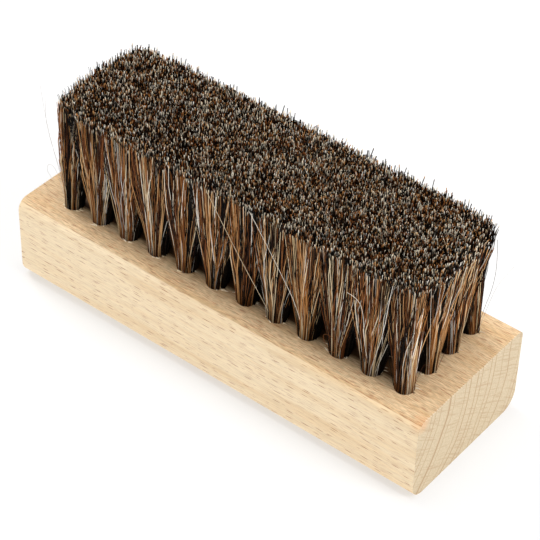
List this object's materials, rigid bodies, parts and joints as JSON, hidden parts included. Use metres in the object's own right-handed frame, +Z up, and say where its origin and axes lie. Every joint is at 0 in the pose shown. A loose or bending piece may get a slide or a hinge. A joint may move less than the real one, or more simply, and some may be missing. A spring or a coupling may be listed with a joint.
{
  "type": "shoe shine brush",
  "caption": "Rectangular shoe shine brush: a beech block with rounded long edges, drilled in a grid and filled with flaring, level-trimmed tufts of mixed horsehair for buffing leather.",
  "frame": {"origin": "centre of the block's flat back, on the surface that the brush lies on", "axes": "+X along the block's length, towards the end with the narrower margin; +Y across it, away from the front long side; +Z up, from the block's back to the bristle tips"},
  "size_m": [0.13, 0.0446, 0.0592],
  "materials": {
    "beech": "planed, unfinished beech",
    "horsehair": "mixed natural horsehair",
    "anchor_steel": "drawn flat wire"
  },
  "bodies": {
    "root": {"block": "beech", "tuft_r1_c01": "horsehair", "tuft_r1_c02": "horsehair", "tuft_r1_c03": "horsehair", "tuft_r1_c04": "horsehair", "tuft_r1_c05": "horsehair", "tuft_r1_c06": "horsehair", "tuft_r1_c07": "horsehair", "tuft_r1_c08": "horsehair", "tuft_r1_c09": "horsehair", "tuft_r1_c10": "horsehair", "tuft_r1_c11": "horsehair", "tuft_r1_c12": "horsehair", "tuft_r2_c01": "horsehair", "tuft_r2_c02": "horsehair", "tuft_r2_c03": "horsehair", "tuft_r2_c04": "horsehair", "tuft_r2_c05": "horsehair", "tuft_r2_c06": "horsehair", "tuft_r2_c07": "horsehair", "tuft_r2_c08": "horsehair", "tuft_r2_c09": "horsehair", "tuft_r2_c10": "horsehair", "tuft_r2_c11": "horsehair", "tuft_r2_c12": "horsehair", "tuft_r3_c01": "horsehair", "tuft_r3_c02": "horsehair", "tuft_r3_c03": "horsehair", "tuft_r3_c04": "horsehair", "tuft_r3_c05": "horsehair", "tuft_r3_c06": "horsehair", "tuft_r3_c07": "horsehair", "tuft_r3_c08": "horsehair", "tuft_r3_c09": "horsehair", "tuft_r3_c10": "horsehair", "tuft_r3_c11": "horsehair", "tuft_r3_c12": "horsehair", "tuft_r4_c01": "horsehair", "tuft_r4_c02": "horsehair", "tuft_r4_c03": "horsehair", "tuft_r4_c04": "horsehair", "tuft_r4_c05": "horsehair", "tuft_r4_c06": "horsehair", "tuft_r4_c07": "horsehair", "tuft_r4_c08": "horsehair", "tuft_r4_c09": "horsehair", "tuft_r4_c10": "horsehair", "tuft_r4_c11": "horsehair", "tuft_r4_c12": "horsehair", "anchors_row_1": "anchor_steel", "anchors_row_2": "anchor_steel", "anchors_row_3": "anchor_steel", "anchors_row_4": "anchor_steel"}
  },
  "joints": []
}
